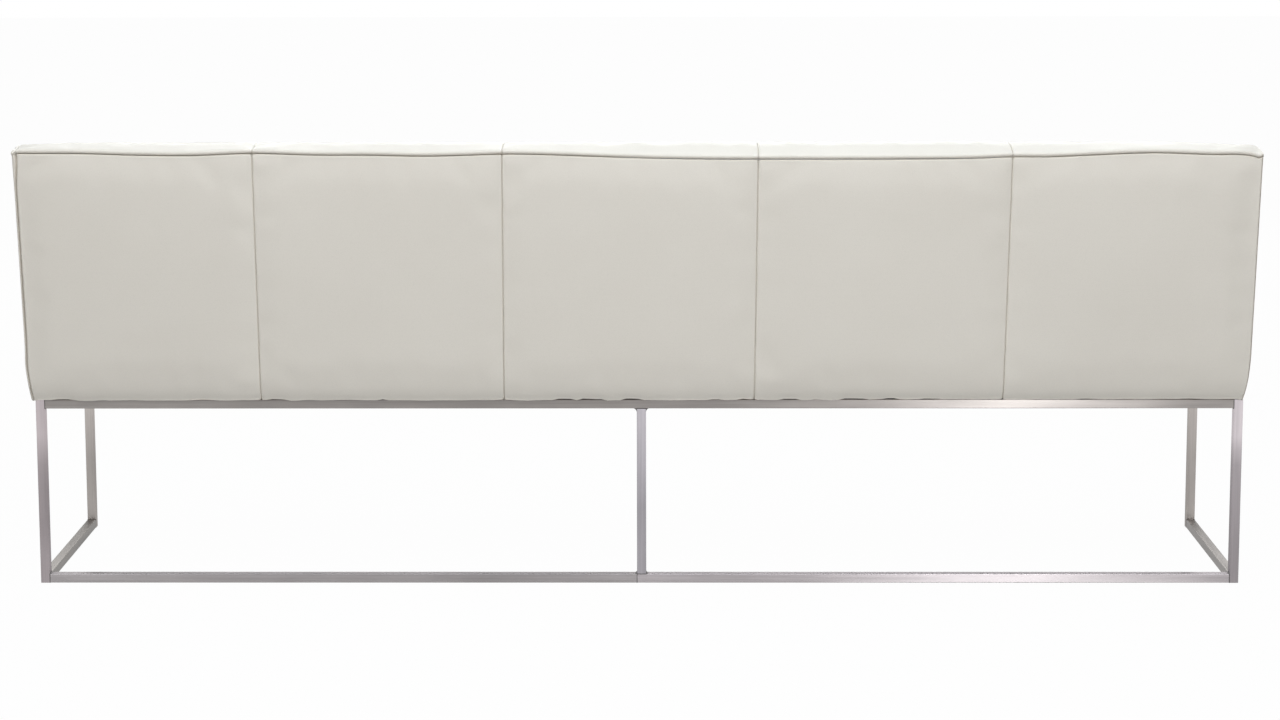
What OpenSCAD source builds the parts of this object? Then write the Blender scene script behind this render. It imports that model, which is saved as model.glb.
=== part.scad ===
// Upholstered dining bench with a full-length back on a welded square-tube frame.
// X runs along the bench, +Y is the rear of the back, Z is up and the floor is at zero.
// Left and right are the sitter's. All lengths are in millimetres, all angles in degrees.

/* [Frame] */
// Length of the steel frame
frame_l = 2490; // [1600:10:3000]
// Depth of the steel frame
frame_d = 500; // [440:5:600]
// Height of the steel frame
frame_h = 388; // [340:1:440]
// Side of the square tube
tube = 19; // [18:1:25]
// Wall of the square tube
tube_wall = 1.5; // [1:0.25:2.5]
// Radius of the tube's outer corners
tube_corner = 1.6; // [0.8:0.2:2]
// Distance of the rear post from the middle, towards the right end
post_offset = 6; // [0:1:20]
// Throat of the weld beads at the post
post_bead = 4; // [2:0.5:6]
// Throat of the weld beads at the frame's corners
corner_bead = 2; // [1:0.5:3]

/* [Seat] */
// Thickness of the seat board
seat_board_t = 18; // [15:1:22]
// Thickness of the seat above the frame at its edges
seat_t = 96; // [80:1:120]
// Rise of the seat's crown from front to back
seat_crown = 7; // [2:1:12]
// Radius of the seat's front edge
seat_edge_r = 28; // [15:1:34]
// Swell of the seat's front border
front_swell = 8; // [3:1:12]

/* [Back] */
// Lean of the back
lean = 8.3; // [5:0.1:12]
// Height of the back above the frame, along its lean
back_h = 525; // [440:5:600]
// Thickness of the back's foam
back_foam_t = 58; // [36:1:65]
// Rear of the back beyond the frame, where its plane meets the frame's top
back_foot = 30; // [26:1:40]
// Thickness of the back board
back_board_t = 15; // [12:1:18]
// Radius of the back's front top edge
back_edge_r = 10; // [6:1:24]
// Rise of the crown on the back's front
back_crown = 7; // [2:1:12]
// Rise of the crown on the back's top
top_crown = 7; // [1:0.5:8]
// Depth by which the rear panel is drawn in at its foot
foot_tuck = 20; // [10:1:22]
// Height over which the rear panel is drawn in at its foot
foot_tuck_h = 55; // [40:1:80]

/* [Upholstery] */
// Overhang of the upholstery beyond each end of the frame
end_overhang = 5; // [0:1:12]
// Swell of the end borders beyond the edge seams
end_swell = 4; // [2:1:14]
// Thickness of the rear panel with its wadding
rear_cover_t = 8; // [5:0.5:9]
// Thickness of the front and top covers with their wadding
cover_t = 8; // [5:0.5:10]
// Thickness of the end borders with their wadding, inside the edge seams
end_cover_t = 7; // [4:0.5:9]
// Thickness of the wadding sheet behind the back board
wadding_t = 14; // [10:1:16]
// Rise of the crown between two sewn seams
section_crown = 4; // [1:0.5:8]
// Rise of the crown on the rear panel between two sewn seams
rear_crown = 2.5; // [1:0.5:5]
// Depth of the sewn seams below the leather
seam_dip = 1.5; // [0.5:0.5:3]
// Pull of the ends at the foot of the upholstery
end_pull = 4; // [0:0.5:8]
// Thickness of the cloth lining under the seat
lining_t = 1; // [0.6:0.2:2]

/* [Fixings] */
// Shank diameter of the seat bolts
bolt_d = 6; // [5:1:6]
// Distance between the front and the rear bolts
bolt_spacing = 300; // [150:10:340]
// Width of a fixing tab, out from the side rail
tab_w = 36; // [28:2:50]
// Length of a fixing tab along the side rail
tab_l = 40; // [28:2:60]
// Thickness of a fixing tab
tab_t = 4; // [3:0.5:6]
// Number of brackets between seat and back
brackets = 6; // [2:1:8]
// Width of a bracket
bracket_w = 40; // [34:1:60]
// Thickness of a bracket
bracket_t = 5; // [3:0.5:6]
// Height of a bracket's upright leg
bracket_h = 130; // [90:5:200]
// Shank diameter of the bracket screws
screw_d = 4.5; // [3.5:0.5:5]
// Depth of the bracket screws in the boards
screw_bite = 10; // [7:1:11]

/* [Hidden] */

// Clearances: soft pieces to their neighbours, fasteners in their holes, and the overrun of cuts
soft_gap = 0.3;
hole_gap = 0.2;
cut = 1;
// Room between the toe of a bracket and the back's front cover
toe_gap = 5;

// Steps of the rounded tube corner and facets of the true round pieces
corner_steps = 3;
round_fn = 14;

// Fasteners, as shares of their shank diameters
bolt_head_share = 1.75;
bolt_head_h_share = 0.55;
washer_d_share = 2;
washer_t_share = 0.27;
hex_share = 0.67;
hex_depth_share = 0.35;
tee_barrel_share = 1.35;
tee_flange_share = 3.2;
tee_flange_t_share = 0.25;
screw_head_share = 2;
screw_head_h_share = 0.6;

// Screws in a bracket: their distance from its middle as a share of its width, and their places
// along its flat leg and up its upright leg, from the heel
bracket_screw_share = 0.25;
foot_screw_share = 0.6;
upright_screw_shares = [0.45, 0.85];

// Depth of a leg plug in its tube, in tube sides, and the cloth's inset from the tubes, in cloths
plug_depth_share = 0.8;
lining_inset_share = 3;

// Sewn sections of the upholstery from the left end, as shares of the length between edge seams
section_shares = [0.19, 0.201, 0.206, 0.204, 0.199];
// Stations across one section, as shares of its length
station_shares = [0, 0.03, 0.12, 0.35, 0.65, 0.88, 0.97];
// Rounding of an end border: how far out each station lies, as shares of the end swell,
// and how far it is drawn in all round, as shares of the end swell
end_out_shares = [0.4, 0.78, 1];
end_in_shares = [0.15, 0.6, 1.8];
// Rows up the back, as shares of its height, closer together at the tucked foot
row_shares = [0, 0.012, 0.035, 0.07, 0.11, 0.25, 0.45, 0.65, 0.85, 0.97, 1];
// Points along the seat's top from the rear, and down its front border, as shares
seat_top_shares = [0, 0.04, 0.15, 0.32, 0.5, 0.68, 0.85, 0.96];
seat_front_shares = [0.8, 0.5, 0.22, 0];
// Points across the back's top from the rear seam, and down its front to the crease at the seat
back_top_shares = [0.12, 0.35, 0.62, 0.88];
back_front_shares = [0.93, 0.8, 0.6, 0.4, 0.2, 0.07, 0];
// Steps of the rounded front edges
edge_steps = 3;
// Powers that shape the crowns: across a section, up a panel, over the back's top and over a border
section_power = 4;
panel_power = 6;
top_power = 4;
border_power = 2;

// Levels of the seat
seat_board_top = frame_h + seat_board_t;
seat_z = frame_h + seat_t;

// The upholstery, overall and between its edge seams
cover_l = frame_l + 2 * end_overhang;
body_l = cover_l - 2 * end_swell;
// Half length of the boards and foams inside the end borders
core_half = body_l / 2 - end_cover_t;

// Layers of the back, counted from the rear plane towards the front
board_rear_v = -rear_cover_t - wadding_t;
board_front_v = board_rear_v - back_board_t;
foam_front_v = board_front_v - back_foam_t;
back_t = cover_t - foam_front_v;
core_top_u = back_h - cover_t;

// The origin lies midway between the seat's front swell and the back's top rear edge
front_reach = frame_d + front_swell + section_crown / 2;
rear_reach = back_foot + back_h * sin(lean);
rear_face = (front_reach - rear_reach) / 2;
front_face = rear_face - frame_d;
foot_y = rear_face + back_foot;

// Edges of the seat board: its rear edge lies just inside the tucked foot of the rear panel
seat_board_rear = foot_y - (foot_tuck + rear_cover_t) / cos(lean) - soft_gap;
seat_board_front = front_face + cover_t;

// Places of the cross bearers, the bolts and the brackets along the bench
bearer_place_shares = [0.25, 0.5, 0.75];
bearer_x = [for (t = bearer_place_shares) frame_l * (1 / 2 - t)];
side_x = (frame_l - tube) / 2;
tab_x = [for (s = [1, -1]) s * (side_x - tube / 2 - tab_w / 2)];
bolt_x = concat(bearer_x, tab_x);
bolt_y = [for (s = [-1, 1]) rear_face - frame_d / 2 + s * bolt_spacing / 2];
bracket_pitch = 2 * core_half / brackets;
bracket_x = [for (i = [0:brackets - 1]) -core_half + bracket_pitch * (i + 1 / 2)];

// Bolt, washer, nut and screw sizes
bolt_head_d = bolt_d * bolt_head_share;
bolt_head_h = bolt_d * bolt_head_h_share;
washer_d = bolt_d * washer_d_share;
washer_t = bolt_d * washer_t_share;
tee_barrel_d = bolt_d * tee_barrel_share;
tee_flange_d = bolt_d * tee_flange_share;
tee_flange_t = bolt_d * tee_flange_t_share;
tee_barrel_l = seat_board_t / 2;
screw_head_d = screw_d * screw_head_share;
screw_head_h = screw_d * screw_head_h_share;
screw_l = bracket_t + screw_bite;
bracket_foot = back_foam_t - toe_gap;

// A point in the back's leaning section: v towards the rear, u up the lean
function back_point(v, u) = [
    foot_y + v * cos(lean) + u * sin(lean),
    frame_h + u * cos(lean) - v * sin(lean)
];
// Where the plane v meets the level z
function level_u(v, z) = (z - frame_h + v * sin(lean)) / cos(lean);
// Depth of the tucked foot at a height above the frame
function tuck(h) = h >= foot_tuck_h ? 0 : foot_tuck * (1 - sqrt(1 - pow(1 - h / foot_tuck_h, 2)));
// Pull of the ends at a height above the frame
function pull(h) = h >= foot_tuck_h ? 0 : end_pull * pow(1 - h / foot_tuck_h, 2);
function crown(t, power) = 1 - pow(abs(2 * t - 1), power);
function sum_to(list, n) = n == 0 ? 0 : list[n - 1] + sum_to(list, n - 1);
function seam_x(i) = body_l / 2 - body_l * sum_to(section_shares, i);

// Stations from the left end to the right: place, crown share, groove share, drawn-in depth
last_section = len(section_shares) - 1;
last_end = len(end_out_shares) - 1;
panel_stations = concat(
    [for (i = [0:last_section], t = station_shares)
        [seam_x(i) + (seam_x(i + 1) - seam_x(i)) * t, crown(t, section_power),
            t == 0 && i > 0 ? 1 : 0, 0]],
    [[-body_l / 2, 0, 0, 0]]);
cover_stations = concat(
    [for (k = [last_end:-1:0])
        [body_l / 2 + end_swell * end_out_shares[k], 0, 0, end_swell * end_in_shares[k]]],
    panel_stations,
    [for (k = [0:last_end])
        [-body_l / 2 - end_swell * end_out_shares[k], 0, 0, end_swell * end_in_shares[k]]]);

// A station's place, pulled in near the foot of the upholstery
function pulled_x(station, z) = station[0] * (1 - 2 * pull(z - frame_h) / cover_l);
function ring(station, section) = [for (p = section) [pulled_x(station, p[1]), p[0], p[1]]];

// A point of the back's section at one depth and at a share of the height from the foot
function back_row(v, s, top) =
    let (foot = level_u(v, frame_h))
    back_point(v, foot + (top - foot) * s);

function rear_panel_section(st) = concat(
    [for (s = row_shares)
        back_row((rear_crown * st[1] - seam_dip * st[2]) * crown(s, panel_power)
            - tuck(back_h * s), s, back_h)],
    [for (k = [len(row_shares) - 1:-1:0])
        let (s = row_shares[k]) back_row(-rear_cover_t - tuck(back_h * s), s, back_h)]);

function back_cover_section(st) =
    let (
        inset = st[3],
        top = back_h - inset,
        rear = -rear_cover_t - soft_gap - inset / 2,
        front = -back_t + inset,
        lift = section_crown * st[1] - seam_dip * st[2],
        r = back_edge_r,
        level = top - r,
        crease = level_u(front, seat_z)
    )
    concat(
        [for (s = row_shares) back_row(rear - tuck(back_h * s), s, top)],
        [for (t = back_top_shares)
            back_point(rear + (front + r - rear) * t, top + top_crown * crown(t, top_power)
                + lift * sin(180 * t) / 2)],
        [for (k = [0:edge_steps])
            let (a = 90 * k / edge_steps)
            back_point(front + r - r * sin(a), level + r * cos(a))],
        [for (t = back_front_shares)
            back_point(front - (back_crown + lift) * crown(t, border_power) * (1 - inset / back_t),
                crease + (level - crease) * t)],
        [back_row(front, 0, top)]);

// Section of the seat's cover: up its rear face, forward over its top and down its front border
function seat_cover_section(st) =
    let (
        inset = st[3],
        rear_v = -back_t - soft_gap,
        top = seat_z - inset,
        front = front_face + inset,
        rear = back_point(rear_v, level_u(rear_v, top))[0] - inset / 2,
        foot = back_point(rear_v, level_u(rear_v, frame_h))[0] - inset / 2,
        lift = section_crown * st[1] - seam_dip * st[2],
        r = seat_edge_r,
        flat_end = front + r
    )
    concat(
        [[foot, frame_h], [(foot + rear) / 2, (frame_h + top) / 2]],
        [for (t = seat_top_shares)
            [rear + (flat_end - rear) * t,
                top + (seat_crown + lift) * crown(t, border_power)]],
        [for (k = [0:edge_steps])
            let (a = 90 * k / edge_steps)
            [flat_end - r * sin(a), top - r + r * cos(a)]],
        [for (t = seat_front_shares)
            [front - (front_swell + lift / 2) * sin(180 * t), frame_h + (top - r - frame_h) * t]]);

// Closed skin over rings of equal count, with strip or fan caps
module skin(rings, fan) {
    n = len(rings[0]);
    m = len(rings);
    body = [for (r = rings) each r];
    centre = [for (r = [rings[0], rings[m - 1]]) [for (k = [0:2]) sum_to([for (p = r) p[k]], n) / n]];
    sides = [for (i = [0:m - 2], j = [0:n - 1])
        let (a = i * n + j, b = i * n + (j + 1) % n)
        each [[a, b, b + n], [a, b + n, a + n]]];
    last = (m - 1) * n;
    fan_caps = [for (j = [0:n - 1])
        let (k = (j + 1) % n)
        each [[k, j, m * n], [last + j, last + k, m * n + 1]]];
    strip_caps = [for (j = [0:n / 2 - 2])
        let (c = n - 1 - j)
        each [[j + 1, j, c], [j + 1, c, c - 1],
            [last + j, last + j + 1, last + c], [last + j + 1, last + c - 1, last + c]]];
    polyhedron(
        points = fan ? concat(body, centre) : body,
        faces = concat(sides, fan ? fan_caps : strip_caps));
}

// Outline of a square with rounded corners
function rounded_square(side, r) = [for (q = [0:3], k = [0:corner_steps])
    let (a = 90 * (q + k / corner_steps), c = side / 2 - r, corner = 90 * q + 45)
    [sign(cos(corner)) * c + r * cos(a), sign(sin(corner)) * c + r * sin(a)]];

// Square tube along +Z, standing at the origin on its axis
module tube_z(length) {
    linear_extrude(height = length) difference() {
        polygon(rounded_square(tube, tube_corner));
        square(tube - 2 * tube_wall, center = true);
    }
}
module tube_x(x, y, z, length) {
    translate([x, y, z]) rotate([0, 90, 0]) tube_z(length);
}
module tube_y(x, y, z, length) {
    translate([x, y, z]) rotate([-90, 0, 0]) tube_z(length);
}

// Axes of the tubes: the rear and front rows, and the floor and top levels
rear_y = rear_face - tube / 2;
front_y = front_face + tube / 2;
floor_z = tube / 2;
top_z = frame_h - tube / 2;
rail_l = frame_l - 2 * tube;
side_l = frame_d - 2 * tube;

module steel(shade = "silver") {
    color(shade) children();
}
module corner_leg(side, y) {
    steel() translate([side * side_x, y, 0]) tube_z(frame_h);
}
module floor_rail_half(x, length) {
    steel() tube_x(x, rear_y, floor_z, length);
}
module side_rail(side, z) {
    steel() tube_y(side * side_x, front_face + tube, z, side_l);
}
// Holes for the seat bolts through the steel of the top frame
module bolt_holes(places, thickness) {
    for (x = places, y = bolt_y)
        translate([x, y, frame_h - thickness - cut])
            cylinder(h = thickness + 2 * cut, d = bolt_d + 2 * hole_gap, $fn = round_fn);
}

module rear_leg_left() { corner_leg(1, rear_y); }
module rear_leg_right() { corner_leg(-1, rear_y); }
module front_leg_left() { corner_leg(1, front_y); }
module front_leg_right() { corner_leg(-1, front_y); }
module rear_post() {
    steel() translate([-post_offset, rear_y, tube]) tube_z(frame_h - 2 * tube);
}
// The floor rail is two lengths that meet under the post's left edge
post_edge = tube / 2 - post_offset;
module rear_floor_rail_left() { floor_rail_half(post_edge, rail_l / 2 - post_edge); }
module rear_floor_rail_right() { floor_rail_half(-rail_l / 2, rail_l / 2 + post_edge); }
module side_floor_rail_left() { side_rail(1, floor_z); }
module side_floor_rail_right() { side_rail(-1, floor_z); }
module rear_top_rail() { steel() tube_x(-rail_l / 2, rear_y, top_z, rail_l); }
module front_top_rail() { steel() tube_x(-rail_l / 2, front_y, top_z, rail_l); }
module side_top_rail_left() { side_rail(1, top_z); }
module side_top_rail_right() { side_rail(-1, top_z); }
module cross_bearer(i) {
    steel("gainsboro") difference() {
        tube_y(bearer_x[i], front_face + tube, top_z, side_l);
        bolt_holes([bearer_x[i]], tube);
    }
}
module cross_bearer_left() { cross_bearer(0); }
module cross_bearer_centre() { cross_bearer(1); }
module cross_bearer_right() { cross_bearer(2); }
// Tabs welded inside the side rails, level with the frame's top
module tab_blanks(grow) {
    for (x = tab_x, y = bolt_y)
        translate([x - tab_w / 2 - grow, y - tab_l / 2 - grow, frame_h - tab_t])
            cube([tab_w + 2 * grow, tab_l + 2 * grow, tab_t]);
}
module fixing_tabs() {
    steel("gainsboro") difference() {
        tab_blanks(0);
        bolt_holes(tab_x, tab_t);
    }
}

// Hollow-faced weld bead in a corner of the X-Z plane: sx and sz point away from the corner
bead_w = tube - 2 * tube_corner;
module bead(x, y, z, sx, sz, size) {
    arc = [for (k = [0:corner_steps])
        let (a = 180 + 90 * k / corner_steps) [size * (1 + cos(a)), size * (1 + sin(a))]];
    translate([x, y + bead_w / 2, z]) rotate([90, 0, 0])
        linear_extrude(height = bead_w)
            scale([sx, sz]) polygon(concat([[0, 0]], [for (k = [corner_steps:-1:0]) arc[k]]));
}
module weld_beads() {
    steel("gray") {
        for (s = [-1, 1]) {
            bead(s * tube / 2 - post_offset, rear_y, frame_h - tube, s, -1, post_bead);
            bead(s * tube / 2 - post_offset, rear_y, tube, s, 1, post_bead / 2);
            for (y = [rear_y, front_y]) bead(s * rail_l / 2, y, frame_h - tube, -s, -1, corner_bead);
            bead(s * rail_l / 2, rear_y, tube, -s, 1, corner_bead);
        }
    }
}
// Plastic plugs in the open lower ends of the corner legs
module leg_plugs() {
    side = tube - 2 * tube_wall - 2 * hole_gap;
    color("dimgray")
        for (sx = [-1, 1], y = [rear_y, front_y])
            translate([sx * side_x - side / 2, y - side / 2, 0])
                cube([side, side, tube * plug_depth_share]);
}

// The plywood seat board with its bolt and nut seats and the bracket screw holes
module seat_board() {
    color("burlywood") difference() {
        translate([-core_half, seat_board_front, frame_h])
            cube([2 * core_half, seat_board_rear - seat_board_front, seat_board_t]);
        for (x = bolt_x, y = bolt_y) translate([x, y, frame_h]) {
            translate([0, 0, -cut])
                cylinder(h = seat_board_t + 2 * cut, d = bolt_d + 2 * hole_gap, $fn = round_fn);
            translate([0, 0, seat_board_t - tee_barrel_l - tee_flange_t])
                cylinder(h = seat_board_t, d = tee_barrel_d + 2 * hole_gap, $fn = round_fn);
            translate([0, 0, seat_board_t - tee_flange_t])
                cylinder(h = seat_board_t, d = tee_flange_d + 2 * hole_gap, $fn = round_fn);
        }
        foot_screw_places() screw_hole();
    }
}
// Bolts from below through the steel, the board and the nuts
module bolts(places, thickness) {
    length = washer_t + thickness + seat_board_t;
    color("lightgray")
        for (x = places, y = bolt_y) translate([x, y, seat_board_top - length]) {
            cylinder(h = length, d = bolt_d, $fn = round_fn);
            difference() {
                translate([0, 0, -bolt_head_h]) cylinder(h = bolt_head_h, d = bolt_head_d, $fn = round_fn);
                translate([0, 0, -bolt_head_h - cut])
                    cylinder(h = bolt_d * hex_depth_share + cut, d = bolt_d * hex_share, $fn = 6);
            }
        }
}
module bearer_bolts() { bolts(bearer_x, tube); }
module tab_bolts() { bolts(tab_x, tab_t); }
module ring_plate(outer, inner, height) {
    difference() {
        cylinder(h = height, d = outer, $fn = round_fn);
        translate([0, 0, -cut]) cylinder(h = height + 2 * cut, d = inner, $fn = round_fn);
    }
}
module washers(places, thickness) {
    for (x = places, y = bolt_y)
        translate([x, y, frame_h - thickness - washer_t])
            ring_plate(washer_d, bolt_d + 2 * hole_gap, washer_t);
}
module bolt_washers() {
    color("whitesmoke") {
        washers(bearer_x, tube);
        washers(tab_x, tab_t);
    }
}
module tee_nuts() {
    color("goldenrod")
        for (x = bolt_x, y = bolt_y) translate([x, y, seat_board_top]) {
            translate([0, 0, -tee_flange_t])
                ring_plate(tee_flange_d, bolt_d + 2 * hole_gap, tee_flange_t);
            translate([0, 0, -tee_flange_t - tee_barrel_l])
                ring_plate(tee_barrel_d, bolt_d + 2 * hole_gap, tee_barrel_l);
        }
}
// Black cloth under the board in the bays between the tubes
module underside_lining() {
    inset = lining_t * lining_inset_share;
    edges = concat([side_x], bearer_x, [-side_x]);
    color("black") difference() {
        for (i = [0:len(edges) - 2])
            translate([edges[i + 1] + tube / 2 + inset, front_face + tube + inset, frame_h - lining_t])
                cube([edges[i] - edges[i + 1] - tube - 2 * inset, side_l - 2 * inset, lining_t]);
        tab_blanks(inset);
    }
}

// Places the children in the back's leaning frame: Y towards the rear, Z up the lean
module leaning() {
    translate([0, foot_y, frame_h]) rotate([-lean, 0, 0]) children();
}
// Everything above the seat board's top, as far as the bench reaches
module above_board(gap) {
    translate([-cover_l, front_face - back_h, seat_board_top + gap])
        cube([2 * cover_l, 2 * (frame_d + back_h), 2 * back_h]);
}
// A sheet of the back between two depths, standing on the seat board
module back_sheet(front_v, rear_v, half, top, gap) {
    intersection() {
        leaning() translate([-half, front_v, -back_h / 2])
            cube([2 * half, rear_v - front_v, back_h / 2 + top]);
        above_board(gap);
    }
}

// Where a bracket's flat leg starts: the board's front face at the seat board's level
heel_u = level_u(board_front_v, seat_board_top);
heel = back_point(board_front_v, heel_u);
foot_screw_y = heel[0] - bracket_foot * foot_screw_share;
bracket_screw_dx = bracket_w * bracket_screw_share;
upright_screw_u = [for (t = upright_screw_shares) bracket_h * t];

// Screws through the flat legs, pointing down, and through the upright legs, pointing back
module foot_screw_places() {
    for (x = bracket_x, s = [-1, 1])
        translate([x + s * bracket_screw_dx, foot_screw_y, seat_board_top + bracket_t])
            children();
}
module upright_screw_places() {
    leaning() for (x = bracket_x, u = upright_screw_u)
        translate([x, board_front_v - bracket_t, heel_u + u]) rotate([90, 0, 0]) children();
}
// A screw hangs from the origin, its head above
module screw() {
    translate([0, 0, -screw_l]) cylinder(h = screw_l, d = screw_d, $fn = round_fn);
    cylinder(h = screw_head_h, d = screw_head_d, $fn = round_fn);
}
module screw_hole() {
    translate([0, 0, -screw_l - hole_gap])
        cylinder(h = screw_l + hole_gap + cut, d = screw_d + 2 * hole_gap, $fn = round_fn);
}
module bracket_screws() {
    color("darkgray") {
        foot_screw_places() screw();
        upright_screw_places() screw();
    }
}
// Angle brackets bent from flat bar, on the seat board and against the back board
module back_brackets() {
    color("slategray") difference() {
        for (x = bracket_x) {
            translate([x - bracket_w / 2, heel[0] - bracket_foot, seat_board_top])
                cube([bracket_w, bracket_foot - bracket_t, bracket_t]);
            intersection() {
                leaning() translate([x - bracket_w / 2, board_front_v - bracket_t, -bracket_h])
                    cube([bracket_w, bracket_t, 2 * bracket_h + heel_u]);
                above_board(0);
            }
        }
        foot_screw_places() screw_hole();
        upright_screw_places() screw_hole();
    }
}
// Room for the brackets and their screw heads in the back foam: an angle, square to the bench
module bracket_room() {
    room_t = bracket_t + screw_head_h + soft_gap;
    width = bracket_w + 2 * soft_gap;
    toe = heel[0] - bracket_foot - soft_gap;
    low = seat_board_top - cut;
    level = seat_board_top + room_t;
    rear_v = board_front_v + cut;
    front_v = board_front_v - room_t;
    top_u = heel_u + bracket_h + soft_gap;
    outline = [[toe, low], [toe, level], back_point(front_v, level_u(front_v, level)),
        back_point(front_v, top_u), back_point(rear_v, top_u), back_point(rear_v, level_u(rear_v, low))];
    for (x = bracket_x)
        translate([x - width / 2, 0, 0]) rotate([90, 0, 90])
            linear_extrude(height = width) polygon(outline);
}

module back_board() {
    color("peru") difference() {
        back_sheet(board_front_v, board_rear_v, core_half - soft_gap, core_top_u - soft_gap, 0);
        upright_screw_places() screw_hole();
    }
}
module back_foam() {
    color("khaki") difference() {
        back_sheet(foam_front_v + soft_gap, board_front_v - soft_gap, core_half - soft_gap,
            core_top_u - soft_gap, soft_gap);
        bracket_room();
    }
}
module back_wadding() {
    color("lemonchiffon")
        leaning() translate([-core_half + soft_gap, board_rear_v + soft_gap, foot_tuck_h])
            cube([2 * (core_half - soft_gap), wadding_t - 2 * soft_gap,
                core_top_u - soft_gap - foot_tuck_h]);
}
// Space of the boards and foams inside the covers
module core_space() {
    leaning() translate([-core_half, foam_front_v, -back_h / 2])
        cube([2 * core_half, -foam_front_v, back_h / 2 + core_top_u]);
}
module board_space() {
    translate([-core_half - soft_gap, seat_board_front - soft_gap, frame_h - cut])
        cube([2 * (core_half + soft_gap), seat_board_rear - seat_board_front + 2 * soft_gap,
            seat_board_t + cut + soft_gap]);
}
module back_cover() {
    color("ivory") difference() {
        skin([for (st = cover_stations) ring(st, back_cover_section(st))], true);
        core_space();
        board_space();
    }
}
module back_rear_cover() {
    color("linen") skin([for (st = panel_stations) ring(st, rear_panel_section(st))], false);
}

// Foam block on the seat board, its rear face along the back
seat_foam_top = seat_z - cover_t;
module seat_block(front, rear_v, bottom, top, half) {
    rear_low = back_point(rear_v, level_u(rear_v, bottom))[0];
    rear_high = back_point(rear_v, level_u(rear_v, top))[0];
    r = seat_edge_r - cover_t;
    arc = [for (k = [0:edge_steps])
        let (a = 90 * k / edge_steps) [front + r - r * cos(a), top - r + r * sin(a)]];
    translate([-half, 0, 0]) rotate([90, 0, 90]) linear_extrude(height = 2 * half)
        polygon(concat([[front, bottom]], arc, [[rear_high, top], [rear_low, bottom]]));
}
module seat_foam() {
    color("khaki")
        seat_block(seat_board_front + soft_gap, -back_t - cover_t - soft_gap, seat_board_top,
            seat_foam_top - soft_gap, core_half - soft_gap);
}
module seat_cover() {
    color("ivory") difference() {
        skin([for (st = cover_stations) ring(st, seat_cover_section(st))], true);
        seat_block(seat_board_front, -back_t - cover_t, frame_h - cut, seat_foam_top, core_half);
        board_space();
    }
}

rear_leg_left();
rear_leg_right();
rear_post();
front_leg_left();
front_leg_right();
rear_floor_rail_left();
rear_floor_rail_right();
side_floor_rail_left();
side_floor_rail_right();
rear_top_rail();
front_top_rail();
side_top_rail_left();
side_top_rail_right();
cross_bearer_left();
cross_bearer_centre();
cross_bearer_right();
fixing_tabs();
weld_beads();
leg_plugs();
seat_board();
seat_foam();
seat_cover();
underside_lining();
bearer_bolts();
tab_bolts();
bolt_washers();
tee_nuts();
back_board();
back_brackets();
bracket_screws();
back_foam();
back_wadding();
back_cover();
back_rear_cover();
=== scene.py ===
# Upholstered dining bench with a full-length back on a welded square-tube frame.
# Metres, in the part's own frame: X runs along the bench, +Y is the rear of the back, Z is up.
import math
import random

import bmesh
import bpy
import numpy as np
from mathutils import Matrix, Vector

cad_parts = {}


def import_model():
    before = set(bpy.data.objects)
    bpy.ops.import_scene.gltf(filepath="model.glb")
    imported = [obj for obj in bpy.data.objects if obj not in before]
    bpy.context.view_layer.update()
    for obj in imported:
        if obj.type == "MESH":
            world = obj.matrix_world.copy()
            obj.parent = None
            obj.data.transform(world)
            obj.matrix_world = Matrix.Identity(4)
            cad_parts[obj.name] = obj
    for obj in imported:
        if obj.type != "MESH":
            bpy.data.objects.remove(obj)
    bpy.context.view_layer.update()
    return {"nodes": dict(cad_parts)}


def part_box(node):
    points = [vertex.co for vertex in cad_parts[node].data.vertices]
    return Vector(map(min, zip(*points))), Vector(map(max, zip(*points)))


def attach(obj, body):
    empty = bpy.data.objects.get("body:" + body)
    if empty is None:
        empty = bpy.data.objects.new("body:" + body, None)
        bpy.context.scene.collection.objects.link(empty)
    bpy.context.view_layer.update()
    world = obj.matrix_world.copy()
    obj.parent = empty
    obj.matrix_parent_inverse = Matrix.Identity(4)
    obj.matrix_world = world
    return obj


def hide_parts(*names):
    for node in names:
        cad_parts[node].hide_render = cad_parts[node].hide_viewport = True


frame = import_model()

MM = 0.001


def ends(left, right):
    """A length in millimetres for the left end (1) and one for the right (-1)."""
    return {1: left * MM, -1: right * MM}


# Camera at the photograph's angle: behind the bench, a little above the back, looking down.
# Sizes in the picture follow from the lens and the picture's shift.
CAMERA_AT = (-0.0448, 5.8736, 1.5058)
CAMERA_PITCH = math.radians(7.726)
CAMERA_TURN = math.radians(0.414)
CAMERA_ROLL = math.radians(-0.1)
CAMERA_LENS = 78.74
CAMERA_SHIFT = -0.10

# The steel frame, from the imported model
leg_low, leg_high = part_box("rear_leg_left")
TUBE = leg_high.x - leg_low.x
HALF_L = leg_high.x
REAR_Y = leg_high.y
FRAME_TOP = leg_high.z
FRONT_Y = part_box("front_leg_left")[0].y

# The back, along and across its lean. It stands out behind the frame, and its foot is drawn in low down
LEAN = math.radians(8.3)
BACK_FOOT = 30 * MM
BACK_H = 525 * MM
BACK_T = 103 * MM
BACK_EDGE_R = 10 * MM
BACK_CROWN = 7 * MM
TOP_CROWN = 7 * MM
FOOT_TUCK = 12 * MM
FOOT_TUCK_H = 55 * MM
PANEL_T = 8 * MM
PANEL_CROWN = 1.25 * MM

# The seat
SEAT_T = 96 * MM
SEAT_CROWN = 8.5 * MM
SEAT_EDGE_R = 28 * MM
FRONT_SWELL = 8 * MM

# Board and leather, the rise of each sewn section, and the room kept between soft parts
BOARD_T = 18 * MM
COVER_T = 8 * MM
SECTION_CROWN = 2 * MM
SOFT_GAP = 0.3 * MM

# Powers of a crown: a round one, a fuller one, and one that is flat but for its ends
ROUND, FULL, FLAT = 2, 4, 6

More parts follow.
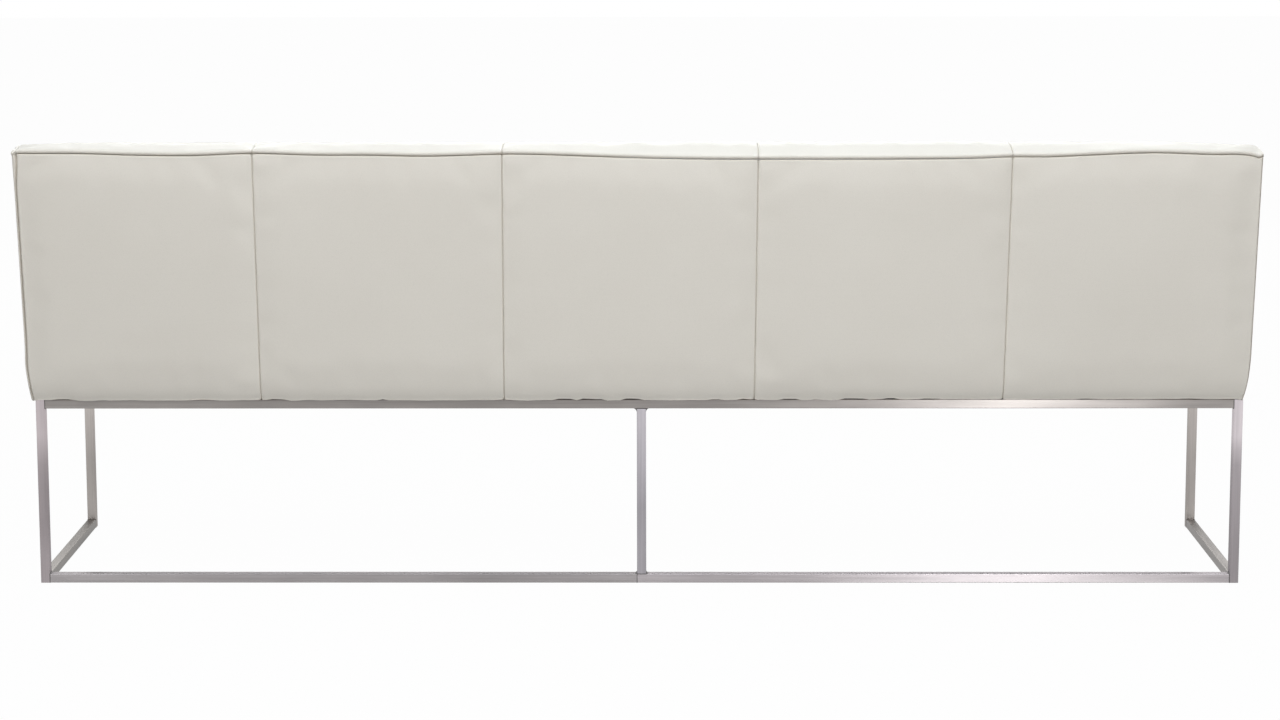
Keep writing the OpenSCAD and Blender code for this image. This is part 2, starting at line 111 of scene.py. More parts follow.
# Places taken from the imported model
edge_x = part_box("back_rear_cover")[1].x
end_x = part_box("back_cover")[1].x
board_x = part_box("seat_board")[1].x
post_x = (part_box("rear_post")[0].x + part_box("rear_post")[1].x) / 2
end_swell = end_x - edge_x
foot_y = REAR_Y + BACK_FOOT
seat_z = FRAME_TOP + SEAT_T

# Sewn sections from the left end, as shares of the length between the edge seams
section_shares = (0.19, 0.201, 0.206, 0.204, 0.199)
seam_stops = np.array([-edge_x + 2 * edge_x * sum(section_shares[len(section_shares) - k:])
                       for k in range(len(section_shares) + 1)])

# The rolled edge over the rear top seam, and the rear panel's edges beside it
ROLL_R = 4.4 * MM
ROLL_UP = 3.6 * MM
SEAM_ROOM = 1.7 * MM
PANEL_TOP_ROUND = 24 * MM
PANEL_TOP_DEPTH = 1.1 * MM
PANEL_RIM = 2.5 * MM
PANEL_RIM_DEPTH = 1.2 * MM
PANEL_SIDE_ROUND = ends(4.2, 2.4)
BORDER_DEPTH = ends(2.6, 0.4)

# Sewn seams: the groove, the hollow beside it, and the seam allowance that shows through on one side
GROOVE_DEPTH = 3 * MM
GROOVE_WIDTH = 1.1 * MM
DIMPLE_DEPTH = 1.1 * MM
DIMPLE_WIDTH = 9 * MM
ALLOWANCE = 0.4 * MM
ALLOWANCE_WIDTH = 7.4 * MM
ALLOWANCE_RISE = 1.2 * MM
ALLOWANCE_FALL = 2.2 * MM

# Gathers beside a seam: height, reach, pitch, and the lengths over which the pitch drifts and they fade
GATHER_DEPTH = 0.4 * MM
PANEL_GATHER_DEPTH = 0.22 * MM
GATHER_REACH = 13 * MM
GATHER_PITCH = 4.6 * MM
GATHER_DRIFT = (110 * MM, 47 * MM)
GATHER_FADE = 90 * MM

# Soft waves of the leather, long and short: height and length. They fade towards the end borders
cover_waves = ((0.9 * MM, 300 * MM), (0.35 * MM, 100 * MM))
panel_waves = ((0.6 * MM, 340 * MM), (0.22 * MM, 90 * MM))
BORDER_FADE = 14 * MM
PANEL_FADE = 12 * MM

# The line of closed leather at the bottom of a seam, darker than the leather around it as painted shade in
# the groove
LINE_HALF = 0.3 * MM
LINE_LIFT = 0.9 * MM

# The rear panel's seams stand a little slanted, and its lower edge flares out a little
SEAM_SLANT = 4 * MM
HEM_FLARE = 1.2 * MM
HEM_FLARE_H = 5 * MM

# The rear panel's lower edge stands off the rail, more so at the right end and in some places:
# middle of each in metres, half its length and its lift in millimetres
HEM_LIFT = 2.3 * MM
HEM_LIFT_RIGHT = 1.7 * MM
HEM_RIGHT_FROM = -380 * MM
HEM_RIGHT_SPAN = 120 * MM
HEM_SOFT = 12 * MM
hem_gaps = ((1.18, 22, 4.3), (1.106, 14, 3.2), (0.738, 20, 4.5), (0.68, 7, 4.7), (0.6, 40, 2.8),
            (0.52, 8, 4.5), (0.148, 17, 5.5), (0.091, 28, 5.6), (0.013, 20, 5.9), (-0.162, 9, 4.5),
            (-0.223, 10, 4.5), (-0.317, 19, 5), (-0.37, 9, 3.8), (-0.445, 31, 5.6), (-0.523, 13, 5.6),
            (-0.6, 24, 4.6), (-0.92, 20, 4.6), (-1.158, 44, 4.6))

# How far the real ends stand out beyond the model's straight ones: at the edge seams, at the borders,
# at the borders near the top, and at the borders' front
seam_out = ends(3.6, 2.3)
border_out = ends(5.6, 0.8)
border_out_top = ends(2.4, 0)
front_out = ends(12, 2)

# How far the top sinks towards the ends, how far the edge seam bends back in near the top,
# and the gap between the rear panel and the border
end_droop = ends(3.5, 6.5)
seam_in_top = ends(4.2, 0)
side_gap = ends(1.6, 0.1)

# How far and how high the ends are drawn in at the foot, and their bulge above that
end_pull = ends(5.4, 10.2)
end_pull_h = ends(80, 105)
end_bulge = ends(1.8, 0)

# Lengths over which these fade in: the ends' shape, the seam's bend and the gap. Then the top part's
# start above the frame and its span, and the bulge's height and width
END_REACH = 200 * MM
SEAM_BEND_REACH = 40 * MM
SIDE_GAP_REACH = 8 * MM
TOP_PART_FROM = 455 * MM
TOP_PART_SPAN = 50 * MM
BULGE_AT = 80 * MM
BULGE_WIDTH = 25 * MM

# Pulled-out corners of the cover at the rear top: the end, then out, rear, up and reach in millimetres
corner_pulls = ((1, 4.8, 1.5, -7.0, 15), (-1, 1.5, 1.0, -1.0, 18))

# Mesh lines beside a seam, the usual distance between lines, and how far a seam holds the leather beside it
FINE_LINES = tuple(k * MM for k in (0.5, 1.1, 1.9, 3.0, 4.6, 6.4, 8.2, 10.4))
COARSE_LINE = 12.5 * MM
SEAM_HELD = 10 * MM
NEARLY_ZERO = 1e-12

# The rear top seam's hand-sewn wave: places along the bench in metres and lifts in millimetres.
# It fades out down the rear panel, from a share of its height
top_wave = ((1.24, 3.6), (1.12, 3.2), (1.0, -0.3), (0.9, -1.2), (0.77, 3.2), (0.65, -0.3), (0.53, -0.8),
            (0.43, -2.8), (0.33, -0.6), (0.27, 1.3), (0.16, -0.7), (0.08, -3.8), (-0.01, -6.8),
            (-0.13, -9.2), (-0.3, -9.7), (-0.52, -9.6), (-0.68, -8.0), (-0.76, -5.0), (-0.81, -5.6),
            (-0.9, -2.0), (-1.04, 2.7), (-1.15, -1.0), (-1.21, -1.6), (-1.228, -4.2), (-1.238, -7.6),
            (-1.246, -5))
WAVE_FROM = 0.72
WAVE_SPAN = 0.28


def crown(t, power):
    """A rise over the span from 0 to 1: 1 in its middle and 0 at its ends, flatter with a higher power."""
    return 1 - np.abs(2 * t - 1) ** power


def smooth(t):
    """A smooth step from 0 to 1 over the span from 0 to 1."""
    t = np.clip(t, 0, 1)
    return t * t * (3 - 2 * t)


def spread(values, at, to):
    """Carries values given at some places smoothly over to others, along the first axis."""
    slopes = np.gradient(values, at, axis=0)
    k = np.clip(np.searchsorted(at, to, side="right") - 1, 0, len(at) - 2)
    shape = (-1,) + (1,) * (values.ndim - 1)
    h = (at[k + 1] - at[k]).reshape(shape)
    t = ((to - at[k]) / (at[k + 1] - at[k])).reshape(shape)
    return ((2 * t ** 3 - 3 * t ** 2 + 1) * values[k] + (t ** 3 - 2 * t ** 2 + t) * h * slopes[k]
            + (3 * t ** 2 - 2 * t ** 3) * values[k + 1] + (t ** 3 - t ** 2) * h * slopes[k + 1])


def wave_lift(x):
    at = np.array([p[0] for p in reversed(top_wave)])
    lift = np.array([p[1] * MM for p in reversed(top_wave)])
    return spread(lift, at, np.clip(x, at[0], at[-1]))


def wave_share(u):
    return smooth((u / BACK_H - WAVE_FROM) / WAVE_SPAN)


def ripples(a, b, length, seed, stretch=1.0):
    """Gentle waves over the plane of a and b, between about -1 and 1."""
    draw = random.Random(seed)
    count = 9
    usual_sum = 4
    total = 0
    for _ in range(count):
        angle = draw.uniform(0, math.pi)
        turn = 2 * math.pi / (length * draw.uniform(0.7, 1.5))
        total = total + np.cos((a * math.cos(angle) + b / stretch * math.sin(angle)) * turn
                               + draw.uniform(0, 2 * math.pi))
    return total / usual_sum


def soft_waves(waves, a, b, seed):
    return sum(height * ripples(a, b, length, seed + k) for k, (height, length) in enumerate(waves))


def lines_between(stops, coarse=COARSE_LINE):
    """Mesh lines from the first stop to the last, close together beside every stop."""
    out = []
    for a, b in zip(stops, stops[1:]):
        near = [a] + [a + f for f in FINE_LINES]
        far = [b - f for f in reversed(FINE_LINES)]
        count = max(1, round((far[0] - near[-1]) / coarse))
        out += near + list(np.linspace(near[-1], far[0], count + 1)[1:-1]) + far
    return np.array(out + [stops[-1]])


def thinned(at, gap, keep):
    """Indices of places about a gap apart, with all those to keep."""
    least = 0.7 * gap
    keep = sorted(set(keep) | {0, len(at) - 1})
    out = [0]
    for k in range(1, len(at)):
        following = next(q for q in keep if q >= k)
        if k == following or (at[k] - at[out[-1]] >= gap and at[following] - at[k] >= least):
            out.append(k)
    return np.array(out)


def section_share(x):
    k = np.clip(np.searchsorted(seam_stops, x, side="right") - 1, 0, len(section_shares) - 1)
    return np.clip((x - seam_stops[k]) / (seam_stops[k + 1] - seam_stops[k]), 0, 1)


def section_rise(x):
    return SECTION_CROWN * crown(section_share(x), FULL)[:, None]


def seam_distance(x, stops):
    return np.min(np.abs(x[:, None] - stops[None, :]), axis=1)


def nearest(places, at):
    return int(np.argmin(np.abs(places - at)))


def groove(d):
    """Depth of a plain sewn seam at a distance from its thread line."""
    deep = GROOVE_DEPTH * np.exp(-(d / GROOVE_WIDTH) ** 2)
    return deep + DIMPLE_DEPTH * np.exp(-(d / DIMPLE_WIDTH) ** 2)


def allowance(x):
    """Rise of the leather over the folded seam allowances, which all lie towards the right end."""
    seam = np.argmin(np.abs(x[:, None] - seam_stops[None, 1:-1]), axis=1)
    past = seam_stops[1:-1][seam] - x
    return ALLOWANCE * smooth(past / ALLOWANCE_RISE) * (1 - smooth((past - ALLOWANCE_WIDTH) / ALLOWANCE_FALL))


def puckers(d, s, seed):
    """Small gathers that a seam draws into the leather beside it, at a distance d and a place s along it."""
    phase = random.Random(seed).uniform(0, 6)
    drift = 1.3 * np.sin(s / GATHER_DRIFT[0] + phase) + 0.9 * np.sin(s / GATHER_DRIFT[1] + 2 * phase)
    strength = 0.6 + 0.4 * np.sin(s / GATHER_FADE + phase)
    return np.exp(-(d / GATHER_REACH) ** 2) * np.sin(s / GATHER_PITCH + 3 * drift) * strength


def leaning(v, u):
    """Y and Z of a place in the back's leaning section: v to the rear, u up the lean."""
    y = foot_y + v * math.cos(LEAN) + u * math.sin(LEAN)
    z = FRAME_TOP + u * math.cos(LEAN) - v * math.sin(LEAN)
    return y, z


def level_u(v, z):
    """How far up the lean a height lies, at v to the rear."""
    return (z - FRAME_TOP + v * math.sin(LEAN)) / math.cos(LEAN)


def tuck(h):
    """How far the back's foot is drawn in, at a height up the lean."""
    t = np.clip(1 - h / FOOT_TUCK_H, 0, 1)
    return FOOT_TUCK * t ** 2


def near_end(x, side, reach=END_REACH):
    """0 along most of the bench, rising to 1 at one end's edge seam."""
    return smooth((side * x - edge_x + reach) / reach)


def pulled(x, z):
    """Puts the ends where the real ones are: out at the seams and borders, and drawn in near the foot."""
    out = np.zeros(np.broadcast(x, z).shape)
    up = z - FRAME_TOP
    top_part = smooth((up - TOP_PART_FROM) / TOP_PART_SPAN)
    for side in (1, -1):
        border = np.clip((side * x - edge_x) / end_swell, 0, 1)
        pull = end_pull[side] * np.clip(1 - up / end_pull_h[side], 0, 1) ** 2
        pull = pull - end_bulge[side] * np.exp(-((up - BULGE_AT) / BULGE_WIDTH) ** 2)
        seam = seam_out[side] - seam_in_top[side] * top_part * near_end(x, side, SEAM_BEND_REACH)
        move = seam * (1 - border) + border_out[side] * border - pull
        out = out + side * near_end(x, side) * move * (side * x > 0)
    return x + out


def make_object(name, verts, faces, smooth_faces=True):
    mesh = bpy.data.meshes.new(name)
    mesh.from_pydata([tuple(v) for v in verts], [], [tuple(f) for f in faces])
    mesh.update()
    bm = bmesh.new()
    bm.from_mesh(mesh)
    bmesh.ops.recalc_face_normals(bm, faces=bm.faces)
    bmesh.ops.triangulate(bm, faces=[face for face in bm.faces if len(face.verts) > 4])
    bm.to_mesh(mesh)
    bm.free()
    if smooth_faces:
        mesh.shade_smooth()
    else:
        mesh.shade_flat()
    piece = bpy.data.objects.new(name, mesh)
    bpy.context.scene.collection.objects.link(piece)
    return piece


def loft_faces(m, n):
    """Faces of a skin over m closed rings of n points, with a flat cap at each end."""
    faces = []
    for i in range(m - 1):
        for j in range(n):
            k = (j + 1) % n
            faces.append((i * n + j, i * n + k, (i + 1) * n + k, (i + 1) * n + j))
    faces.append(tuple(range(n - 1, -1, -1)))
    faces.append(tuple((m - 1) * n + j for j in range(n)))
    return faces


def ring_normals(points):
    """Outward directions of a lofted skin: rings along the first axis, ring points along the second."""
    across = np.gradient(points, axis=0)
    around = np.roll(points, -1, axis=1) - np.roll(points, 1, axis=1)
    normal = np.cross(around, across)
    normal /= np.maximum(np.linalg.norm(normal, axis=2, keepdims=True), NEARLY_ZERO)
    middle = points.shape[0] // 2
    outward = points[middle] - points[middle].mean(axis=0)
    if (normal[middle] * outward).sum() < 0:
        normal = -normal
    return normal


# The cloth simulation: distances between its mesh lines along the bench and round it, steps and settings
CLOTH_STATION_GAP = 10.5 * MM
CLOTH_RING_GAP = 11 * MM
CLOTH_STEPS = 20
MOST_CHANGES = 6
cloth_settings = {
    "quality": 6, "mass": 0.3, "vertex_group_mass": "held", "use_pressure": True, "air_damping": 3,
    "tension_stiffness": 25, "compression_stiffness": 25, "shear_stiffness": 12, "bending_stiffness": 2.5,
    "tension_damping": 12, "compression_damping": 12}


def puffed(name, points, held, station_at, ring_at, cap, pressure, growth):
    """How far the leather moves when it is blown up between its seams, as a cloth simulation.

    The cloth has every second or third mesh line, and the result is carried over to all of them."""
    rows = thinned(station_at, CLOTH_STATION_GAP, [nearest(station_at, stop) for stop in seam_stops])
    held_changes = np.flatnonzero(np.diff(held[len(held) // 2].astype(int)))
    columns = thinned(ring_at, CLOTH_RING_GAP, held_changes[:MOST_CHANGES])
    coarse = points[np.ix_(rows, columns)]
    stuck = held[np.ix_(rows, columns)]
    m, n, _ = coarse.shape
    cloth = make_object(name + "_cloth", coarse.reshape(-1, 3), loft_faces(m, n))
    group = cloth.vertex_groups.new(name="held")
    group.add([int(k) for k in np.flatnonzero(stuck.reshape(-1))], 1.0, "REPLACE")
    modifier = cloth.modifiers.new("cloth", "CLOTH")
    for key, value in cloth_settings.items():
        setattr(modifier.settings, key, value)
    modifier.settings.shrink_min = -growth
    modifier.settings.uniform_pressure_force = pressure
    modifier.settings.effector_weights.gravity = 0
    modifier.collision_settings.use_collision = False
    modifier.point_cache.frame_start = 1
    modifier.point_cache.frame_end = CLOTH_STEPS
    for step in range(1, CLOTH_STEPS + 1):
        bpy.context.scene.frame_set(step)
    result = cloth.evaluated_get(bpy.context.evaluated_depsgraph_get()).to_mesh()
    flat = np.empty(len(result.vertices) * 3)
    result.vertices.foreach_get("co", flat)
    bpy.data.objects.remove(cloth)
    bpy.context.scene.frame_set(1)
    move = flat.reshape(m, n, 3) - coarse
    far = np.linalg.norm(move, axis=2, keepdims=True)
    print(name, "cloth moved", (far.max() / MM).round(1), "mm at most")
    move *= np.minimum(1, cap / np.maximum(far, NEARLY_ZERO))
    move[stuck] = 0
    along = spread(move, station_at[rows], station_at)
    return spread(along.transpose(1, 0, 2), ring_at[columns], ring_at).transpose(1, 0, 2)


def ring_places(points):
    """Distance along the ring at the middle of the bench."""
    middle = points[points.shape[0] // 2]
    return np.concatenate([[0], np.cumsum(np.linalg.norm(np.diff(middle, axis=0), axis=1))])


# Stations along the bench: the sewn sections, then the swollen end borders as far as their flat middle
END_ROUND = 6 * MM
END_DOME = 1 * MM
border_turns = np.radians([9, 20, 33, 47, 62, 77, 90])
dome_shares = np.array([0.1, 0.25, 0.45, 0.68, 0.88, 1])
body_lines = lines_between(seam_stops)
border_x = np.concatenate([
    edge_x + (end_swell - END_DOME) * np.sin(border_turns),
    end_x - END_DOME * (1 - dome_shares) ** 2])


def stations(deepest):
    """Places of the rings along the bench, and how far each is drawn in: the deepest closes an end."""
    round_part = END_ROUND * (1 - np.cos(border_turns))
    inset = np.concatenate([round_part, END_ROUND + (deepest - END_ROUND) * dome_shares])
    x = np.concatenate([-border_x[::-1], body_lines, border_x])
    return x, np.concatenate([inset[::-1], np.zeros_like(body_lines), inset])


def drawn_in(values, middle, half, inset):
    """Draws the end borders' rings in towards the middle of the section."""
    return middle + (values - middle) * (1 - inset[:, None] / half)


def sewn_cover(name, points, x, inset, padding, soft_above, seen_above, shown, skip, seed, cap, pressure):
    """Blows a cover up between its seams, then adds the seams' grooves, soft waves and gathers."""
    places = ring_places(points)
    seam_d = seam_distance(x, seam_stops[1:-1])
    edge_d = np.abs(np.abs(x) - edge_x) + inset
    held = (seam_distance(x, seam_stops) < SEAM_HELD)[:, None] | (padding <= soft_above)[None, :]
    held = held | (np.abs(x) > edge_x - SEAM_HELD)[:, None]
    points = points + puffed(name, points, held, x, places, cap, pressure, growth=0.004)
    normal = ring_normals(points)
    offset = (allowance(x) - groove(seam_d) - groove(edge_d))[:, None] * shown
    seen = (padding > seen_above) * 1.0
    inside = smooth((edge_x - np.abs(x)) / BORDER_FADE)[:, None] * seen
    offset += inside * soft_waves(cover_waves, x[:, None], places[None, :], seed)
    offset += seen * GATHER_DEPTH * puckers(np.minimum(seam_d, edge_d)[:, None], places[None, :], seed + 2)
    points += normal * offset[..., None]
    first, last = np.flatnonzero(shown)[[0, -1]]
    for stop in seam_stops:
        add_seam_line(points, normal, nearest(x, stop), first + skip, last + 1)
    return points


def finish_soft(name, points, replaced):
    piece = make_object(name, points.reshape(-1, 3), loft_faces(points.shape[0], points.shape[1]))
    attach(piece, "root")
    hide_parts(replaced)
    piece.data.materials.append(leather)


seam_lines = []


def add_seam_line(points, normal, station, first, last):
    """Keeps the line at the bottom of the groove along one station, to be built when all covers are made."""
    along = points[station, first:last]
    out = normal[station, first:last] * LINE_LIFT
    side = np.array([LINE_HALF, 0, 0])
    seam_lines.append(np.stack([along + out - side, along + out + side], axis=1))


def seam_line_piece():
    """All the seams' lines as one piece of thin ribbons, darker than the leather as painted shade."""
    verts, faces = [], []
    for line in seam_lines:
        start = len(verts)
        verts += list(line.reshape(-1, 3))
        for k in range(len(line) - 1):
            a = start + 2 * k
            faces.append((a, a + 1, a + 3, a + 2))
    piece = make_object("leather_seam_shade_lines", verts, faces)
    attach(piece, "root")
    piece.data.materials.append(seam_shade_leather)


def corner_ears(points):
    """The pulled-out corners of the cover, where three seams meet at the rear top edge."""
    for side, out, rear, up, reach in corner_pulls:
        y, z = leaning(0, BACK_H + ROLL_UP + wave_lift(np.array([side * edge_x]))[0])
        corner = np.array([side * (edge_x + border_out[side]), y, z])
        away = np.linalg.norm(points - corner, axis=2)
        weight = np.clip(1 - away / (reach * MM), 0, 1) ** 2
        points += weight[..., None] * np.array([side * out, rear, up]) * MM
    return points


def rear_panel():
    x = body_lines
    foot_rows = np.array([0, 1.2, 3, 6, 10, 15, 21, 28, 36, 45, 55, 66]) * MM
    top_rows = np.array([24, 19, 15, 11.5, 9, 7, 5.2, 3.8, 2.7, 1.8, 1, 0.4, 0]) * MM
    middle_rows = np.linspace(foot_rows[-1], BACK_H - top_rows[0], 36)[1:-1]
    u = np.concatenate([foot_rows, middle_rows, BACK_H - top_rows])
    xx, uu = np.meshgrid(x, u, indexing="ij")
    side = np.where(xx > 0, 1, -1)
    top_edge = BACK_H + ROLL_UP - ROLL_R - SEAM_ROOM
    lift = wave_lift(x)[:, None]
    up = uu / BACK_H * top_edge + lift * wave_share(u)
    below_top = BACK_H - uu
    v = -tuck(uu) + PANEL_CROWN * crown(section_share(x), FULL)[:, None] * crown(uu / BACK_H, FLAT)
    top_bend = np.clip(1 - below_top / PANEL_TOP_ROUND, 0, 1)
    rim_bend = np.clip(1 - below_top / PANEL_RIM, 0, 1)
    v -= PANEL_TOP_DEPTH * top_bend ** 2 + PANEL_RIM_DEPTH * rim_bend ** 2
    for s in (1, -1):
        round_off = PANEL_SIDE_ROUND[s]
        side_bend = np.clip(1 - (edge_x - s * xx) / round_off, 0, 1)
        v -= round_off * (1 - np.sqrt(1 - side_bend ** 2)) * (side == s)
    v += HEM_FLARE * np.clip(1 - uu / HEM_FLARE_H, 0, 1) ** 2

    # The panel's hidden inner face, from the top down
    inner_shares = np.array([1, 0.97, 0.9, 0.75, 0.5, 0.25, 0.12])
    inner = np.concatenate([inner_shares * BACK_H, np.array([45, 30, 18, 9, 3, 0]) * MM])
    xi, ui = np.meshgrid(x, inner, indexing="ij")
    vi = -PANEL_T - tuck(ui)
    upi = ui / BACK_H * (top_edge - 1 * MM) + lift * wave_share(inner)

    def placed(xs, vs, us):
        foot = level_u(vs, FRAME_TOP)
        y, z = leaning(vs, foot + us * (1 - foot / BACK_H))
        slant = SEAM_SLANT * (1 - us / BACK_H) * (1 - (xs / edge_x) ** 2)
        for s in (1, -1):
            slant = slant - s * side_gap[s] * near_end(xs, s, SIDE_GAP_REACH)
        return np.stack([pulled(xs, z) + slant, y, z], axis=2)

    points = np.concatenate([placed(xx, v, up), placed(xi, vi, upi)], axis=1)
    outer = len(u)
    held = np.ones(points.shape[:2], bool)
    beside_seam = (seam_distance(x, seam_stops) < SEAM_HELD)[:, None]
    held[:, :outer] = beside_seam | (uu > BACK_H - 12 * MM) | (uu < 32 * MM)
    points += puffed("rear_panel", points, held, x, ring_places(points), 4 * MM, pressure=0.8, growth=0.002)
    normal = ring_normals(points)

    # Seams and gathers, soft waves, then small waves along the top and along the drawn-in foot
    d = seam_distance(x, seam_stops[1:-1])[:, None]
    rise = -groove(d) + allowance(x)[:, None] * smooth(below_top / (8 * MM))
    rise += PANEL_GATHER_DEPTH * puckers(d, uu, 3)
    fade = smooth(below_top / BORDER_FADE) * smooth((edge_x - np.abs(xx)) / PANEL_FADE)
    rise += fade * soft_waves(panel_waves, xx, uu, 11)
    rise += 0.22 * MM * np.exp(-(below_top / (18 * MM)) ** 2) * ripples(xx, uu, 35 * MM, 13, 3.0) * fade
    rise += 0.7 * MM * np.exp(-(uu / (38 * MM)) ** 2) * ripples(xx, uu * 0.25, 75 * MM, 14)
    offset = np.zeros(points.shape[:2])
    offset[:, :outer] = rise
    points += normal * offset[..., None]

    # The lower edge, off the rail in places
    hem = HEM_LIFT + HEM_LIFT_RIGHT * smooth((HEM_RIGHT_FROM - x) / HEM_RIGHT_SPAN)
    hem += 0.4 * MM * ripples(x, x * 0, 160 * MM, 15)
    for middle, half, lift in hem_gaps:
        inside = half * MM + HEM_SOFT / 2 - np.abs(x - middle)
        hem = np.maximum(hem, lift * MM * smooth(inside / HEM_SOFT))
    heights = np.concatenate([uu, ui], axis=1)
    points[..., 2] += hem[:, None] * np.exp(-(heights / HEM_SOFT) ** 2)
    for stop in seam_stops[1:-1]:
        add_seam_line(points, normal, nearest(x, stop), 0, outer - 3)
    finish_soft("leather_rear_panel", corner_ears(points), "back_rear_cover")


# Rows of the back cover: behind the rear panel, in millimetres up the lean, and over the top, as shares of it
hidden_rows = (0, 6, 14, 26, 40, 52, 64, 76, 88, 101, 116, 134, 158, 190, 235, 290, 350, 410, 455, 485,
               505, 515)
top_shares = (0.05, 0.08, 0.12, 0.17, 0.23, 0.3, 0.38, 0.46, 0.54, 0.62, 0.7, 0.78, 0.85, 0.91, 0.96, 1)


def back_cover():
    x, inset = stations(0.485 * BACK_T)
    side = np.where(x > 0, 1, -1)
    beyond = np.clip((np.abs(x) - edge_x) / (1.2 * MM), 0, 1)
    border_v = np.array([BORDER_DEPTH[s] for s in side])
    front_u = BACK_H - BACK_EDGE_R
    crease = level_u(-BACK_T, seat_z)
    columns = []

    def add(v, u, rear=0, wave=0, top=0, front=0):
        columns.append((v, u, rear, wave, top, front))

    # Up behind the rear panel, over the rolled edge, and over the top to the front
    hidden_v = -PANEL_T - 2 * SOFT_GAP
    roll_u = BACK_H + ROLL_UP
    for h in hidden_rows:
        add(hidden_v, h * MM, rear=1)
    add(hidden_v, roll_u - 6 * MM, rear=0.9, wave=1)
    add(-5.8 * MM, roll_u - 4.2 * MM, rear=0.4, wave=1)
    for angle in (-105, -80, -55, -30, -5, 20, 45, 70):
        a = math.radians(angle)
        add(-ROLL_R + ROLL_R * math.cos(a), roll_u + ROLL_R * math.sin(a), wave=1)
    flat = BACK_T - BACK_EDGE_R
    roll_top = ROLL_UP + ROLL_R
    for t in top_shares:
        rise = roll_top + (TOP_CROWN - roll_top) * smooth(t / 0.35)
        rise -= 0.75 * TOP_CROWN * smooth((t - 0.6) / 0.4)
        add(-flat * t, BACK_H + rise, wave=1 - smooth((t - 0.02) / 0.42), top=crown(t, FULL))
    for angle in (22, 45, 68):
        a = math.radians(angle)
        add(-flat - BACK_EDGE_R * math.sin(a), front_u + (BACK_EDGE_R + 1.6 * MM) * math.cos(a))

    # Down the front to the seat, down behind the seat's rear edge, and back under the foot
    for t in np.concatenate([[1, 0.985, 0.965, 0.94], np.linspace(0.91, 0.05, 32), [0.025, 0]]):
        add(-BACK_T - BACK_CROWN * crown(t, ROUND), crease + (front_u - crease) * t, front=crown(t, FULL))
    low_rows = 8
    for t in np.arange(low_rows, 0, -1) - 1:
        add(-BACK_T, crease * t / low_rows)
    for t in (0.75, 0.5, 0.25):
        add(-PANEL_T - FOOT_TUCK - (BACK_T - PANEL_T - FOOT_TUCK) * t, 0)

    v0, u0, rear, wave, top, front = np.array(columns).T
    puff = section_rise(x)
    v = np.repeat(v0[None, :], len(x), axis=0)
    v = v + rear * beyond[:, None] * (-v0 - border_v[:, None])
    u = np.repeat(u0[None, :], len(x), axis=0)
    v = v - (rear > 0) * tuck(u) - front * puff
    u = u + wave * wave_lift(x)[:, None] + top * 0.5 * puff
    droop = np.array([end_droop[s] for s in side]) * near_end(np.abs(x), 1)
    u = u - droop[:, None] * smooth((u - (BACK_H - 20 * MM)) / (18 * MM)) * smooth(-v / (60 * MM))
    v = drawn_in(v, -BACK_T / 2, BACK_T / 2, inset)
    u = drawn_in(u, BACK_H / 2, BACK_H / 2, inset)
    y, z = leaning(v, u + level_u(v, FRAME_TOP) * np.clip(1 - u / crease, 0, 1))
    over_board = (np.abs(x) < board_x)[:, None]
    z = np.where(over_board, np.maximum(z, FRAME_TOP + BOARD_T + SOFT_GAP), z)
    xs = np.repeat(x[:, None], v.shape[1], axis=1)
    wider = sum(s * front_out[s] * near_end(xs, s) for s in (1, -1)) * smooth(-v / BACK_T)
    rear_top = smooth((u - TOP_PART_FROM) / TOP_PART_SPAN) * smooth(1 + v / (45 * MM))
    for s in (1, -1):
        wider = wider + s * border_out_top[s] * rear_top * np.clip((s * xs - edge_x) / end_swell, 0, 1)
    points = np.stack([pulled(xs, z) + wider, y, z], axis=2)
    points = sewn_cover("back_cover", points, x, inset, top + front, soft_above=0.02, seen_above=0.001,
                        shown=(u0 > crease * 0.98) & (rear == 0), skip=2, seed=21, cap=6 * MM, pressure=2.0)
    finish_soft("leather_back_cover", corner_ears(points), "back_cover")


